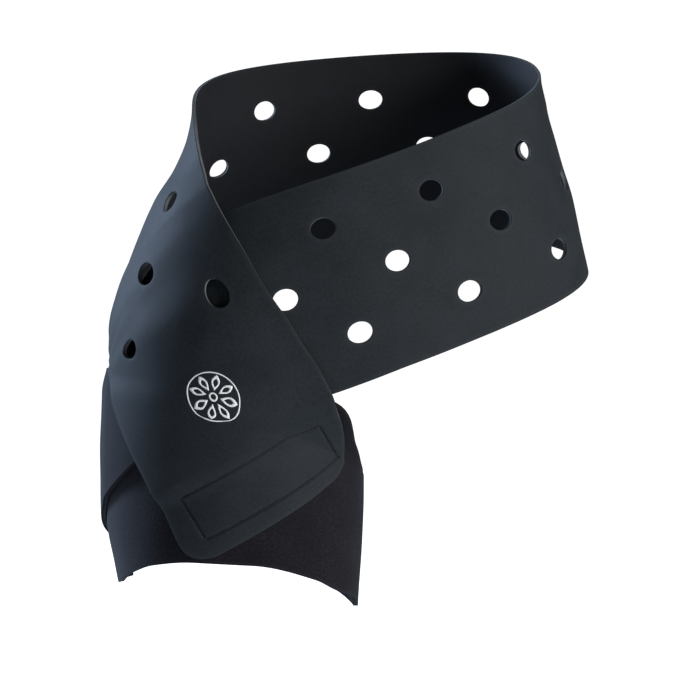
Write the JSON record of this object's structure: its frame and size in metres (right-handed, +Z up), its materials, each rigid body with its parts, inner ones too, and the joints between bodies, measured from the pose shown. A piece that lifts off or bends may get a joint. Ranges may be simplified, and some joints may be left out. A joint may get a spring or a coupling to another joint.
{
  "type": "groin support brace",
  "caption": "Neoprene wrap round the hips and one thigh: a perforated hip belt closing as a hook-backed tab over a loop-faced thigh band.",
  "frame": {"origin": "middle of the hips that the belt goes round, on the body's mid plane, level with the top of the thigh band", "axes": "+Z up along the wearer's trunk, -Y the wearer's front, +X the wearer's left side"},
  "size_m": [0.3491, 0.2299, 0.3932],
  "materials": {
    "hip_belt": "matte knit-faced neoprene, blue-black",
    "thigh_wrap": "matte brushed loop face on neoprene, purple-black",
    "hook_patch": "nylon hook tape, black"
  },
  "bodies": {
    "root": {"hip_belt": "hip_belt", "thigh_wrap": "thigh_wrap", "belt_hook_patch": "hook_patch", "thigh_hook_patch": "hook_patch"}
  },
  "joints": []
}
